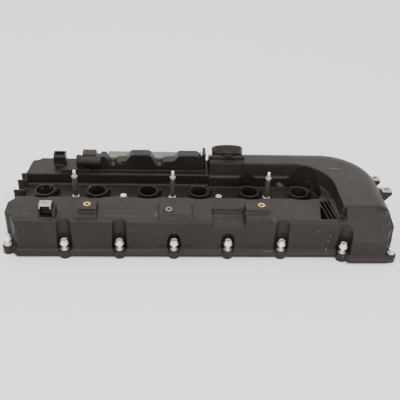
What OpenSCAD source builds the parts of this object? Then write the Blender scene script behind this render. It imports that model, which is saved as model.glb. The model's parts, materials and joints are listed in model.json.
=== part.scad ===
// Cylinder head cover of an inline six engine, with its captive bolts, oil separator,
// pressure valve, filler cap and seals. Millimetres, +Z up, cover resting on its rim gasket.

/* [Engine] */
// Distance between neighbouring cylinders
bore_pitch = 91; // [88:0.5:94]
// Inner diameter of a plug well
well_d = 30; // [26:0.5:31]

/* [Cover] */
// Wall thickness of the moulding
wall = 3; // [2.6:0.1:3.4]
// Height of the front plateau over the rim
plateau_z = 67; // [65:0.5:69]
// Height of the coil trench floor over the rim
trench_z = 40; // [38:0.5:42]
// Height of the rear deck over the rim
deck_z = 62; // [60:0.5:63]
// Height of the rear ridge over the rim
ridge_z = 89; // [87:0.5:91]
// Thickness of the bolting flange
flange_t = 11; // [10:0.5:12]

/* [Fasteners] */
// Thread diameter of the captive bolts
bolt_d = 6; // [6:0.1:6.4]
// Length of a captive bolt under its head
bolt_len = 26; // [24:0.5:27]

/* [Caps and valve] */
// Outer diameter of the filler cap
cap_d = 58; // [54:1:60]
// Outer diameter of the pressure valve lid
lid_d = 70; // [66:1:72]

/* [Hidden] */
$fn = 48;
nylon = [0.13, 0.12, 0.11];
steel = [0.80, 0.80, 0.78];

// The model is drawn about the middle of the plug row and moved to the middle of its box.
mid_x = 51;
mid_y = -7.75;
gasket_out = 1.5;
wells = [for (i = [-2.5:1:2.5]) bore_pitch * i];
cyl = bore_pitch;
front_bolts = [[-277, -101], [-2 * cyl, -112], [-cyl, -112], [0, -112], [cyl, -112], [2 * cyl, -112],
    [287, -119], [371, -121]];
rear_bolts = [[-259, 103], [-171, 109], [-80, 109], [22, 109], [120, 109], [228, 109], [353, 77]];
studs = [-174, -2, 169];
short_bolts = [-89, 81];
// The two short bolts stand a little in front of the row.
trench_holes = concat([for (x = studs) [x, 0]], [for (x = short_bolts) [x, -8]]);
rim_z = 57;
well_wall = 3;
boss_z = 13;
boss_r = 9.5;
grommet_r = 6.5;
sleeve_r = 4.2;
bend = [274, -2];
bend_r = 100;

// Points of an arc, turning from angle a to angle b.
function arc(c, r, a, b, n = 10) = [for (k = [0:n])
    c + r * [cos(a + (b - a) * k / n), sin(a + (b - a) * k / n)]];
function edge_normal(p, q) = [q[1] - p[1], p[0] - q[0]] / norm(q - p);
// The outline moved outwards by d, every side parallel to itself.
function grown(pts, d) = [for (i = [0:len(pts) - 1])
    let (n = len(pts),
        a = edge_normal(pts[(i + n - 1) % n], pts[i]),
        b = edge_normal(pts[i], pts[(i + 1) % n]))
    pts[i] + d * (a + b) / (1 + a * b)];

// Outline of the cover's walls, seen from above, anticlockwise.
wall_line = concat(
    [[-258, -111], [290, -111], [300, -127]],
    arc([360, -113], 14, -90, 0, 5),
    arc(bend, bend_r, 0, 90, 18),
    arc([-246, 80], 18, 90, 165, 4),
    [[-268, 40], [-270, -40], [-281, -54]],
    arc([-269, -80], 12, 180, 225, 3));

module place() { translate([-mid_x, -mid_y, gasket_out]) children(); }
// A profile drawn in Y and Z, carried along X from a to b.
module along_x(a, b) { translate([a, 0, 0]) rotate([90, 0, 90]) linear_extrude(b - a) children(); }
module tube(h, ro, ri) { difference() { cylinder(h = h, r = ro); translate([0, 0, -1])
    cylinder(h = h + 2, r = ri); } }
module block(x0, x1, y0, y1, z0, z1) { translate([x0, y0, z0]) cube([x1 - x0, y1 - y0, z1 - z0]); }

// Front plateau: a wall that leans back a little and a flat top. t is how far inside the skin.
module plateau_body(t) {
    along_x(-290, 292) polygon([[-111.5 + t, -5], [-107.5 + t, plateau_z - 6],
        [-106.3 + t, plateau_z - 2.2 - t / 2],
        [-103.5 + t, plateau_z - 0.4 - t], [-100 + t / 2, plateau_z - t], [-36 - t, plateau_z - t],
            [-36 - t, -5]]);
}
module trench_body(t) { block(-290, 290, -50, 60, -5, trench_z - t); }
// Its hollow runs on into the ridge's.
module deck_body(t) { block(-290, t > 0 ? 75 : 70, 42 + t, 140, -5, deck_z - t); }
// Section across the ridge, outwards from the centre of its bend or from another place inside.
module ridge_section(t, from = 0) {
    polygon([[from, -5], [bend_r - t, -5], [bend_r - t, 14], [bend_r - 2 - t, 60], [bend_r - 5 - t, 70],
        [bend_r - 9 - t, 78 - t / 2], [bend_r - 16 - t, 84.5 - t], [bend_r - 25, 88 - t],
            [bend_r - 33, ridge_z - t],
        [from, ridge_z - t]]);
}
module ridge_body(t) {
    translate([bend[0], bend[1], 0]) rotate_extrude(angle = 90, $fn = 96) ridge_section(t);
    difference() {
        translate([66 + t, bend[1], 0]) rotate([90, 0, 90]) linear_extrude(bend[0] - 66 - t) ridge_section(t);
        block(0, 230, -60, 20, -10, 200);
    }
    translate([bend[0], bend[1], 0]) rotate([90, 0, 0]) linear_extrude(90) ridge_section(t, -52);
}
// What the ridge leaves open: the coil trench, its ledge and the plateau.
space_mid = [213, -28];
module space_section(t) {
    polygon([[0, deck_z - t], [67 + t, deck_z - t], [74 + t, deck_z + 45], [0, deck_z + 45]]);
}
module trench_space(t) {
    translate([space_mid[0], space_mid[1], 0]) {
        rotate_extrude(angle = 90, $fn = 96) space_section(t);
        translate([-173, 0, 0]) rotate([90, 0, 90]) linear_extrude(173) space_section(t);
        rotate([90, 0, 0]) linear_extrude(120) space_section(t);
    }
}
// The trench itself, below the ledge, with an end that curves round the last well.
module trench_cut(t) {
    z0 = trench_z - t;
    block(-263 - t, 214, -36 - t, 36 + t, z0, 140);
    translate([214, 0, z0]) cylinder(h = 100, r = 36 + t);
    block(214, 258 + t, -36 - t, 14 + t, z0, 140);
    for (x = wells) translate([x, 0, z0]) cylinder(h = 100, r = 40 + t);
}
// Room for the front bolts: round niches, full height except under the two raised pads.
module niche(p, t, h, r) { translate([p[0], p[1], boss_z - 2 - t]) cylinder(h = h, r = r + t); }
// A low niche with a domed roof.
module domed_niche(p, t) {
    translate([p[0], p[1], boss_z - 2 - t]) rotate_extrude()
        polygon([[0, 0], [11.5 + t, 0], [11.5 + t, 17 + t], [10 + t, 25 + t], [7 + t, 31 + t],
            [0, 34 + 2 * t]]);
}
module bolt_niches(t) {
    for (i = [1, 2, 5, 6]) niche(front_bolts[i], t, 90, 12.5);
    for (i = [3, 4]) domed_niche(front_bolts[i], t);
    for (i = [0, 7]) niche(front_bolts[i], t, 90, 11.5);
}
module rear_niches(t) {
    for (p = rear_bolts) translate([p[0], p[1], boss_z - 2 - t]) cylinder(h = 120, r = 13 + t);
}
// Raised pads on the plateau: left insert, sensor boss, right insert.
module pads(t) {
    block(-161 + t, -128 - t, -103 + t, -62 - t, 20, 73 - t);
    block(-159 + t, -129 - t, -89 + t, -62 - t, 20, 79 - t);
    along_x(-26 + t, 30 - t) polygon([[-112 + t, 20], [-108 + t, 62], [-102 + t, 70 - t], [-92, 71.5 - t],
        [-61 - t, 71.5 - t], [-61 - t, 20]]);
    along_x(119 + t, 160 - t) polygon([[-112 + t, 20], [-108.5 + t, 72 - t], [-106 + t, 74 - t],
        [-91 + t / 2, 74 - t],
        [-90 + t / 2, 80 - t], [-66 - t, 80 - t], [-66 - t, 20]]);
}
// Stepped dip in the plateau between the two right pads.
module plateau_dip(t) {
    along_x(64 - t, 117 + t) polygon([[-130, 57 - t], [-84 + t / 2, 57 - t], [-81 + t / 2, 61 - t],
        [-70 + t / 2, 61 - t],
        [-66 + t / 2, 90], [-130, 90]]);
}
// Timing end: a block whose front face slopes back above a low upright wall.
module timing_end(t) {
    difference() {
        block(289 + t, 400, -127.5 + t, -50, -5, ridge_z - t);
        translate([0, -88 + t, ridge_z - t]) rotate([51, 0, 0]) block(280, 420, -90, 0, 0, 60);
        translate([bend[0], 0, 0]) rotate([90, 0, 0]) linear_extrude(400, center = true)
            polygon([[bend_r - t, -10], [bend_r - t, 14], [bend_r - 3 - t, 60], [bend_r - 10 - t, 77],
                [bend_r - 32, 85.5 - t], [bend_r - 66, ridge_z - t], [bend_r - 66, 120], [150, 120],
                    [150, -10]]);
    }
}
// The space inside the walls; the hollow runs on below the rim.
module within_walls(t) { translate([0, 0, t > 0 ? -4 : 0]) linear_extrude(150)
    polygon(grown(wall_line, -t)); }
module body(t) {
    difference() {
        intersection() {
            within_walls(t);
            union() {
                plateau_body(t);
                pads(t);
                trench_body(t);
                deck_body(t);
                intersection() {
                    ridge_body(t);
                    block(60, 400, -88 + t, 200, -10, 200);
                }
            }
        }
        difference() {
            trench_space(t);
            plateau_body(t);
            pads(t);
            block(289 + t, 400, -200, -80, 0, 200);
        }
        trench_cut(t);
        bolt_niches(t);
        rear_niches(t);
        plateau_dip(t);
    }
    intersection() {
        within_walls(t);
        difference() {
            timing_end(t);
            bolt_niches(t);
        }
    }
}
// Bolting flange with a stepped edge and a boss for every bolt.
module flange() {
    linear_extrude(6.5) polygon(grown(wall_line, 7));
    linear_extrude(flange_t - 1.5) polygon(grown(wall_line, 4.5));
    linear_extrude(flange_t) polygon(grown(wall_line, 2));
    for (p = concat(front_bolts, rear_bolts)) translate([p[0], p[1], 0]) cylinder(h = boss_z, r = boss_r);
}
// Everything that stands inside the cover: wells, bolt columns and stiffening ribs.
module inside() {
    for (x = wells) translate([x, 0, 0]) cylinder(h = rim_z, r = well_d / 2 + well_wall);
    for (p = trench_holes) translate([p[0], p[1], 0]) {
        cylinder(h = trench_z, r = 9);
        cylinder(h = trench_z + 1.2, r = 8);
    }
    for (p = concat(front_bolts, rear_bolts)) translate([p[0], p[1], -6])
        cylinder(h = boss_z + 5, r = boss_r);
    for (i = [0:4]) block(wells[i] + 40, wells[i] + 42.5, -38, 38, 28, trench_z - 1);
    block(-262, 255, -38, -36, 24, trench_z - 1);
    for (x = [-150, 150]) block(x, x + 2.5, 38, 96, 40, deck_z - 2);
}
module tower() {
    difference() {
        union() {
            block(-222, -197, -100, -83, plateau_z - 1, 92);
            block(-199, -194, -102, -80, plateau_z - 1, 84);
        }
        block(-219, -200, -104, -86, plateau_z + 2, 89);
        block(-216, -203, -104, -86, 86, 96);
    }
}
// Ribbed triangular pocket in the plateau's right corner.
module rib_pocket() {
    difference() {
        linear_extrude(40) polygon([[256, -44], [272, -40], [279, -96], [248, -96]]);
        for (k = [0:2]) translate([258 + 7 * k, -70, -1]) rotate([0, 0, 8]) block(-1, 1, -40, 40, 0, 50);
    }
}
// Curled hook beside a well, open towards the rim.
module hook() {
    translate([19.6, 6, trench_z - 1]) {
        block(-1, 1, -9, 0.5, 0, 15);
        translate([2.2, 0.5, 0]) difference() {
            cylinder(h = 15, r = 3.2);
            translate([0, 0, -1]) cylinder(h = 20, r = 1.8);
            block(-6, 6, -6, -0.5, -1, 20);
        }
    }
    translate([11, 17, trench_z - 1]) block(-3, 3, -1, 1, 0, 16);
}
// Clip nut bracket at the timing end, on a gusset that runs down the flank.
module bracket(x0, x1, y, z) {
    translate([0, y + 7, 0]) rotate([90, 0, 0]) linear_extrude(14)
        polygon([[x0, z - 34], [x0, z], [x1, z], [x1, z - 9], [x1 - 3, z - 12], [x0 + 18, z - 34]]);
}
clips = [[343, 379, 17, 77], [352, 390, -20, 77]];
pod_x = [68, 130];
pod_tilt = 38;
pod_mid = [100, 70, 87];
module on_pod() { translate(pod_mid) rotate([-pod_tilt, 0, 0]) children(); }
module pod(t) {
    along_x(pod_x[0] + t, pod_x[1] - t) polygon([[46.5 + t, 50], [49 + t, 98 - t], [52 + t, 101 - 1.3 * t],
        [92 - t, 69.8 - t], [92 - t, 50]]);
}
// What lies above the pod's slope, from a height z over it.
module above_pod(z) { on_pod() translate([-31, -24, z]) cube([62, 60, 30]); }
module pod_tongue() {
    translate([100, 49.2, 90]) rotate([90, 0, 0]) intersection() {
        cylinder(h = 3.2, r = 14);
        block(-30, 30, 4, 30, -1, 5);
    }
}
// Fins that step down the left end.
module left_fins() {
    for (f = [[46, 60, 270, 280], [28, 58, 268, 284], [0, 55, 268, 286], [-30, 46, 268, 289]])
        block(-f[3] + 3, -262, f[0] - 1.4, f[0] + 1.4, 8, f[1]);
    block(-276, -264, -34, 47, 12, 20);
}
// Centres of the valve's round lid, of the valve under it and of the heater's socket.
lid_c = [-173, 55];
valve = [-178, 68];
sock = [-209, 74];
module bores() {
    for (x = wells) translate([x, 0, -5]) cylinder(h = 80, r = well_d / 2);
    for (x = wells) translate([x, 0, -5]) cylinder(h = 8, r = well_d / 2 + 1.5);
    for (p = trench_holes) translate([p[0], p[1], -5]) cylinder(h = 60, r = grommet_r);
    for (p = concat(front_bolts, rear_bolts)) translate([p[0], p[1], -5]) cylinder(h = 30, r = grommet_r);
    translate([-145, -76, 66]) cylinder(h = 20, r = 5);
    translate([147, -77, 66]) cylinder(h = 20, r = 5);
    translate([-9, -81, 50]) cylinder(h = 40, r = 5.5);
    on_pod() translate([0, 0, -12]) cylinder(h = 20, r = 18);
    translate([valve[0], valve[1], 50]) cylinder(h = 20, r = 20.5);
    translate([-40, 75, 50]) cylinder(h = 20, r = 9);
    for (c = clips) translate([c[1] - 10, c[2], c[3] - 30]) cylinder(h = 40, r = 4);
    translate([0, 0, plateau_z - 0.6]) linear_extrude(5)
        polygon([[-115, -91], [-60, -91], [-64, -69], [-112, -69]]);
}
module rib_pocket_wall() {
    linear_extrude(26) polygon([[253, -41], [275, -37], [284, -100], [245, -100]]);
}
module insert_bosses() {
    translate([-145, -76, 60]) cylinder(h = 20, r = 8);
    translate([147, -77, 60]) cylinder(h = 20, r = 8);
    translate([-9, -81, 58]) cylinder(h = 20, r = 8.5);
}
// Shallow crescents left by the mould's ejector pins, and the step along the ridge's top.
module surface_marks() {
    for (m = [[-176, -70], [214, -93]]) translate([m[0], m[1], plateau_z - 0.5]) difference() {
        cylinder(h = 2, r = 5.5);
        translate([0, 2.2, -1]) cylinder(h = 4, r = 5);
    }
    block(131, 217, 30, 90, ridge_z - 0.8, ridge_z + 4);
}
module cover_shell() {
    color(nylon) place() difference() {
        union() {
            body(0);
            flange();
            pod(0);
            left_fins();
            tower();
            pod_tongue();
            for (c = clips) bracket(c[0], c[1], c[2], c[3]);
            for (x = wells) translate([x, 0, 0]) hook();
            for (x = wells) translate([x, 0, 10]) cylinder(h = rim_z - 10, r = well_d / 2 + well_wall);
            for (p = trench_holes) translate([p[0], p[1], 20]) cylinder(h = trench_z - 18.8, r = 8);
            translate([-9, -81, 60]) cylinder(h = 13.5, r = 8.5);
        }
        difference() {
            union() {
                body(wall);
                pod(wall);
            }
            inside();
            insert_bosses();
            above_pod(-2.6);
            translate([0, 0, 40]) rib_pocket_wall();
        }
        bores();
        above_pod(0.06);
        surface_marks();
        translate([0, 0, 41]) rib_pocket();
        for (x = [152, 238]) translate([x, 44, ridge_z + 8.1]) rotate([0, 45, -12])
            block(-7, 7, -12, 12, -7, 7);
        for (c = clips) block(c[1] - 21, c[1] + 2, c[2] - 9, c[2] + 9, c[3] - 2.4, c[3] + 5);
    }
}
cover_shell();

// ---- Seals, bolts and inserts ----
module rim_gasket() {
    color([0.05, 0.05, 0.05]) place() difference() {
        union() {
            difference() {
                translate([0, 0, -gasket_out]) linear_extrude(gasket_out) polygon(grown(wall_line, 3.5));
                translate([0, 0, -5]) linear_extrude(9) polygon(grown(wall_line, -2));
            }
            for (p = concat(front_bolts, rear_bolts))
                translate([p[0], p[1], -gasket_out]) cylinder(h = gasket_out, r = grommet_r + 2.8);
        }
        for (p = concat(front_bolts, rear_bolts)) translate([p[0], p[1], -5])
            cylinder(h = 9, r = grommet_r + 0.6);
    }
}
module well_seals() {
    color([0.06, 0.06, 0.06]) place() for (x = wells) translate([x, 0, -1.2])
        tube(4, well_d / 2 + 1.5, well_d / 2 + 0.4);
}
bolt_holes = concat([for (p = concat(front_bolts, rear_bolts)) [p[0], p[1], boss_z]],
    [for (p = trench_holes) [p[0], p[1], trench_z + 1.2]]);
module bolt_grommets() {
    color([0.07, 0.07, 0.07]) place() for (p = bolt_holes) translate(p) {
        translate([0, 0, -12]) tube(12, grommet_r, sleeve_r);
        tube(0.8, 8, sleeve_r);
    }
}
module bolt_sleeves() {
    color(steel) place() for (p = bolt_holes) translate(p) {
        translate([0, 0, -12.5]) tube(13.3, sleeve_r, bolt_d / 2 + 0.5);
        translate([0, 0, 0.8]) tube(0.9, 6.3, bolt_d / 2 + 0.5);
    }
}
sleeve_top = 1.7;
// Flange head screw, its head's underside at z = 0.
module head_screw(len, d = bolt_d) {
    translate([0, 0, -len]) cylinder(h = len, r = d / 2);
    translate([0, 0, -len]) cylinder(h = 1.2, r = d / 2 - 0.4);
    cylinder(h = 1.6, r = 7.4);
    cylinder(h = 8, r = 10 / sqrt(3), $fn = 6);
}
head_z = bolt_len - gasket_out;
module captive_bolt(p) { color(steel) place() translate([p[0], p[1], head_z]) head_screw(bolt_len); }
stud_seat = trench_z + 1.2 + sleeve_top + 0.2;
stud_tip = 97;
module trench_bolt(x) { color(steel) place() translate([x, trench_holes[3][1], stud_seat]) head_screw(36); }
module stud_bolt(x) {
    color(steel) place() translate([x, 0, 0]) {
        translate([0, 0, stud_seat - 36]) cylinder(h = 36, r = bolt_d / 2);
        translate([0, 0, stud_seat]) cylinder(h = 1.5, r = 5.8);
        translate([0, 0, stud_seat]) cylinder(h = stud_tip - stud_seat - 1, r = 2.6);
        translate([0, 0, stud_tip - 1]) cylinder(h = 1, r1 = 2.6, r2 = 1.8);
    }
}
module stud_spacer(x) {
    color([0.5, 0.5, 0.48]) place() translate([x, 0, stud_seat + 1.5]) {
        tube(38, 4.6, 2.65);
        translate([0, 0, 38]) tube(2.6, 5.2, 2.65);
    }
}
inserts = [[-145, -76, 79], [147, -77, 80]];
module threaded_inserts() {
    color([0.8, 0.62, 0.3]) place() for (p = inserts) translate(p) {
        translate([0, 0, -11.5]) tube(11.5, 5, 3);
        tube(0.9, 6, 3);
    }
}
module sensor_sleeve() { color(steel) place() translate([-9, -81, 58]) tube(16.2, 5.5, 3.6); }
// Spring clip nut: two plates of a folded strip with a pressed collar. Origin on its seat.
module clip_nut(w, d, drop) {
    difference() {
        union() {
            block(-w / 2, w / 2, -d / 2, d / 2, 0, 1.6);
            block(-w / 2, w / 2, -d / 2, -d / 2 + 1.4, -drop, 1);
            cylinder(h = 3.2, r = 4.4);
        }
        translate([0, 0, -1]) cylinder(h = 10, r = 2.5);
    }
}
module plateau_clip_nut() {
    color([0.72, 0.68, 0.6]) place() translate([-209.5, -94, 92]) {
        clip_nut(19, 15, 0);
        for (x = [-9.5, 8]) block(x, x + 1.5, -8.4, -6.2, -5, 1);
    }
}
module bracket_clip(c) {
    color([0.62, 0.56, 0.5]) place() translate([c[1] - 10, c[2], c[3] - 2.2]) clip_nut(17.5, 14, 0);
}
rim_gasket();
well_seals();
bolt_grommets();
bolt_sleeves();
threaded_inserts();
sensor_sleeve();
plateau_clip_nut();
bracket_clip(clips[0]);  // upper_clip_nut
bracket_clip(clips[1]);  // lower_clip_nut
for (i = [1:8]) captive_bolt(front_bolts[i - 1]);
for (i = [1:7]) captive_bolt(rear_bolts[i - 1]);
for (i = [1:3]) stud_bolt(studs[i - 1]);
for (i = [1:3]) stud_spacer(studs[i - 1]);
for (i = [1:2]) trench_bolt(short_bolts[i - 1]);

// ---- Pressure valve: saucer, lid, diaphragm, plate and spring, sunk in the deck ----
deck_back = 42.6;
saucer_end = -150.6;
seat_z = deck_z - 1.6;
cup_depth = 12.1;
module at_valve() { translate([valve[0], valve[1], seat_z]) children(); }
// Keeps a disc behind the trench's rear edge, clear of the separator and of the socket's foot.
module saucer_outline(inset) {
    difference() {
        translate(lid_c) circle(r = lid_d / 2 - inset);
        translate([-300, deck_back + inset - 60]) square([300, 60]);
        translate([saucer_end, 0]) square([100, 150]);
        translate([sock[0] - 12, sock[1] - 12.5]) square([24, 30]);
    }
}
module valve_housing() {
    color(nylon) place() difference() {
        union() {
            translate([0, 0, deck_z + 0.1]) linear_extrude(2.9) saucer_outline(0);
            at_valve() translate([0, 0, -5.6]) cylinder(h = 8, r = 20.2);
            at_valve() translate([0, 0, -cup_depth - 1.5]) cylinder(h = cup_depth, r = 11.6);
        }
        at_valve() cylinder(h = 10, r = 19);
        at_valve() translate([0, 0, -4.1]) cylinder(h = 10, r = 16.5);
        at_valve() translate([0, 0, -cup_depth]) cylinder(h = 20, r = 9.6);
        at_valve() translate([0, 0, -cup_depth - 5]) cylinder(h = 20, r = 4);
    }
}
module valve_lid() {
    color(nylon) place() difference() {
        union() {
            translate([0, 0, deck_z + 3.1]) linear_extrude(3.4) saucer_outline(3);
            at_valve() translate([0, 0, 1.3]) cylinder(h = 4.5, r = 18.8);
        }
        at_valve() cylinder(h = 3.8, r = 16);
        at_valve() cylinder(h = 5.8, r = 10.5);
    }
}
// Rolling diaphragm: clamped rim, a convolution and a flat middle.
module valve_diaphragm() {
    color([0.1, 0.1, 0.1]) place() at_valve() translate([0, 0, 0.1]) rotate_extrude()
        polygon([[0, 0], [6.5, 0], [8, 1.6], [10.5, 2.2], [12.8, 1.4], [14.2, 0], [17.8, 0], [17.8, 1.1],
            [14.8, 1.1], [13.3, 2.4], [10.5, 3.2], [7.5, 2.6], [6.1, 1], [0, 1]]);
}
module valve_plate() {
    color([0.25, 0.25, 0.24]) place() at_valve() {
        translate([0, 0, -1.4]) cylinder(h = 1.4, r = 8.4);
        translate([0, 0, -15.6]) cylinder(h = 14.5, r = 2.2);
        translate([0, 0, -17.1]) cylinder(h = 1.6, r = 6);
    }
}
spring_turns = 5;
spring_wire_r = 0.55;
spring_h = cup_depth - 1.4;
function spring_ring(k, r, w, pitch) = let (a = 30 * k)
    [for (j = [0:5]) let (b = 60 * j) [(r + w * cos(b)) * cos(a), (r + w * cos(b)) * sin(a),
        pitch * a / 360 + w * sin(b)]];
module spring(r, w, pitch, turns) {
    n = 12 * turns;
    pts = [for (k = [0:n]) each spring_ring(k, r, w, pitch)];
    polyhedron(pts, concat(
        [for (k = [0:n - 1], j = [0:5]) let (a = 6 * k + j, b = 6 * k + (j + 1) % 6) [a, a + 6, b + 6, b]],
        [[for (j = [0:5]) j], [for (j = [5:-1:0]) 6 * n + j]]));
}
module valve_spring() {
    color(steel) place() at_valve() translate([0, 0, spring_wire_r - cup_depth])
        spring(7.2, spring_wire_r, (spring_h - 2 * spring_wire_r) / spring_turns, spring_turns);
}

// ---- Heater socket behind the valve ----
module heater_socket() {
    color(nylon) place() difference() {
        union() {
            block(sock[0] - 11, sock[0] + 11, sock[1] - 8, sock[1] + 8, deck_z + 3, 87);
            translate([sock[0], sock[1] - 3, deck_z + 0.1]) cylinder(h = 4, r = 9);
            block(sock[0] - 11, sock[0] + 11, sock[1] - 10, sock[1] - 8, 80, 84);
        }
        block(sock[0] - 8.5, sock[0] + 8.5, sock[1] - 5.5, sock[1] + 5.5, 72, 90);
        pin_pair();
    }
}
module pin_pair() {
    for (x = [sock[0] - 3.5, sock[0] + 3.5]) block(x - 1, x + 1, sock[1] - 0.4, sock[1] + 0.4, 66, 81);
}
module socket_pins() { color([0.75, 0.7, 0.5]) place() pin_pair(); }

// ---- Oil separator ----
sep_face = 56;
sep_top_face = 76;
module on_pipe(x) { translate([x, 57, 81]) rotate([0, 90, 0]) children(); }
// Height of the separator's top edge, carried back from its front face.
module sep_profile(t) {
    polygon(concat(
        [[-150 + t, 66], [-150 + t, 69.2], [-166 + t, 69.2], [-166 + t, 95 - t], [-142 - t, 95 - t],
            [-139 - t, 86 - t]],
        [for (a = [160:-20:20]) [-128, 84 - t] + 7.5 * [cos(a), sin(a)]],
        [[-118 - t, 80 - t], [-114 - t, 73 - t], [-108 + t, 73 - t], [-103 + t, 81 - t],
            [-87 + t, 82 - t], [-79 + t, 93.5 - t],
            [-75 + t, 95.5 - t], [-46 - t, 95.5 - t], [-41 - t, 93 - t], [-35 - t, 80 - t],
                [-29 - t, 73.5 - t], [-23 + t, 73.5 - t],
            [-16 + t, 82 - t], [1 + t, 83 - t], [8 + t, 93 - t], [12 + t, 95 - t], [43 - t, 95 - t],
                [48 - t, 92 - t], [57 - t, 76],
            [58 - t, 66]]));
}
module sep_slice(y0, y1, t) { translate([0, y1, 0]) rotate([90, 0, 0]) linear_extrude(y1 - y0)
    sep_profile(t); }
module separator_housing() {
    color(nylon) place() difference() {
        union() {
            sep_slice(sep_face, sep_top_face, 0);
            on_pipe(-172) cylinder(h = 40, r = 10.5);
            on_pipe(-174) cylinder(h = 4, r = 11.6);
            block(54, 60, sep_face + 2, sep_top_face + 8, 66, 97);
        }
        intersection() {
            sep_slice(sep_face + 3, sep_top_face - 3, 2.5);
            block(-138, 54, 0, 200, 60, 200);
        }
        block(-135, 54, sep_face + 3, sep_top_face - 3, 60, 71);
        on_pipe(-180) cylinder(h = 44, r = 8);
    }
}
module separator_rear() {
    color([0.3, 0.29, 0.28]) place() difference() {
        block(-122, 54, sep_top_face + 0.4, 99, 66, 78);
        block(-119, 51, sep_top_face + 3, 96.5, 60, 75.5);
    }
}
module separator_frame() {
    color(nylon) place() difference() {
        union() {
            block(-150, 61, 50, 101, deck_z + 0.1, 65.9);
        }
        block(-131, 51, 60, 73, 60, 70);
        block(-118, 50, 80, 96, 60, 70);
    }
}
module impactor_plate() {
    color([0.2, 0.2, 0.2]) place() difference() {
        block(-70, -67.5, 59.6, 72.4, 66.2, 80);
        for (z = [69, 73, 77]) translate([-75, 66, z]) rotate([0, 90, 0]) cylinder(h = 10, r = 1.4);
    }
}
flap_at = [20, 66, 84];
module check_flap() {
    color([0.15, 0.15, 0.15]) place() translate(flap_at) difference() {
        union() {
            block(-1, 1, -5.5, 5.5, -13, -2);
            translate([0, 5.5, 0]) rotate([90, 0, 0]) cylinder(h = 11, r = 2.4);
        }
        translate([0, 10, 0]) rotate([90, 0, 0]) cylinder(h = 20, r = 1.06);
    }
}
module flap_pin() { color(steel) place() translate(flap_at) translate([0, 8, 0]) rotate([90, 0, 0])
    cylinder(h = 16, r = 1); }
module drain_pipe() {
    color(nylon) place() translate([-40, 75, 0]) {
        translate([0, 0, 20]) tube(41.9, 8.6, 6.5);
        translate([0, 0, 18]) tube(3, 7.6, 4);
    }
}
module breather_connector() {
    color([0.16, 0.15, 0.15]) place() on_pipe(-176.4) difference() {
        union() {
            cylinder(h = 2, r = 11.2);
            translate([0, 0, 1]) cylinder(h = 24, r = 7.7);
        }
        translate([0, 0, -20]) cylinder(h = 60, r = 5.6);
        translate([0, 0, 12]) rotate_extrude() translate([7.7, 0]) circle(r = 1.2);
    }
}
module breather_o_ring() {
    color([0.4, 0.12, 0.08]) place() on_pipe(-164.4) rotate_extrude() translate([7.25, 0]) circle(r = 0.7);
}
module heater_element() {
    color([0.6, 0.6, 0.58]) place() on_pipe(-150.6) tube(12, 7.9, 6.8);
}

// ---- Oil filler ----
module filler_neck() {
    color(nylon) place() on_pod() difference() {
        union() {
            translate([0, 0, 0.1]) cylinder(h = 9.9, r = 22);
            translate([0, 0, 0.1]) cylinder(h = 2.4, r = 24.5);
        }
        translate([0, 0, -5]) cylinder(h = 30, r = 18);
    }
}
module filler_cap() {
    color(nylon) place() on_pod() difference() {
        union() {
            translate([0, 0, 1.2]) cylinder(h = 14.3, r = cap_d / 2);
            translate([0, 0, 15.5]) cylinder(h = 2.5, r1 = cap_d / 2, r2 = cap_d / 2 - 2.5);
        }
        difference() {
            cylinder(h = 14, r = 25.5);
            translate([0, 0, 6]) tube(10, 17.2, 14.5);
        }
        for (a = [0:30:330]) rotate([0, 0, a + 15]) translate([cap_d / 2 + 1.6, 0, 8])
            cylinder(h = 20, r = 3.2);
    }
}
module filler_seal() { color([0.06, 0.06, 0.06]) place() on_pod() translate([0, 0, 10.3])
    tube(3.5, 21.5, 17.6); }

// ---- Oil baffles inside ----
front_pillars = [[-230, -55], [-230, -85], [-60, -55], [-60, -85]];
rear_pillars = [[140, 56], [210, 56]];
module front_baffle() {
    color([0.2, 0.2, 0.2]) place() difference() {
        union() {
            block(-240, -45, -93, -44, 44, 46);
            block(-240, -45, -93, -91.5, 46, 50);
            block(-240, -45, -45.5, -44, 46, 50);
            for (q = front_pillars) translate([q[0], q[1], 45]) cylinder(h = plateau_z - wall - 45.1, r = 4);
        }
        for (q = front_pillars) translate([q[0], q[1], 40]) cylinder(h = 20, r = 2);
        for (x = [-210:30:-90]) translate([x, -68, 40]) cylinder(h = 10, r = 5);
    }
}
module rear_baffle() {
    color([0.2, 0.2, 0.2]) place() difference() {
        union() {
            block(134, 218, 48, 88, 62, 64);
            block(134, 218, 86.5, 88, 64, 67);
            for (q = rear_pillars) translate([q[0], q[1], 63]) cylinder(h = ridge_z - wall - 63.1, r = 4);
        }
        for (q = rear_pillars) translate([q[0], q[1], 60]) cylinder(h = 18, r = 2);
        for (x = [155:20:195]) translate([x, 72, 60]) cylinder(h = 10, r = 5);
    }
}
module baffle_screw(p, z) {
    translate([p[0], p[1], z - 3]) cylinder(h = 3, r = 4.4);
    translate([p[0], p[1], z - 1]) cylinder(h = 14, r = 1.9);
}
module baffle_screws() {
    color(steel) place() {
        for (q = front_pillars) baffle_screw(q, 43.9);
        for (q = rear_pillars) baffle_screw(q, 61.9);
    }
}

valve_housing();
valve_lid();
valve_diaphragm();
valve_plate();
valve_spring();
heater_socket();
socket_pins();
heater_element();
separator_housing();
separator_rear();
separator_frame();
impactor_plate();
check_flap();
flap_pin();
drain_pipe();
breather_connector();
breather_o_ring();
filler_neck();
filler_cap();
filler_seal();
front_baffle();
rear_baffle();
baffle_screws();
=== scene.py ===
"""Cylinder head cover of an inline six engine: surfaces, fasteners and finishes round its CAD pieces."""

import json
import math

import bmesh
import bpy
from mathutils import Matrix, Vector


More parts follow.
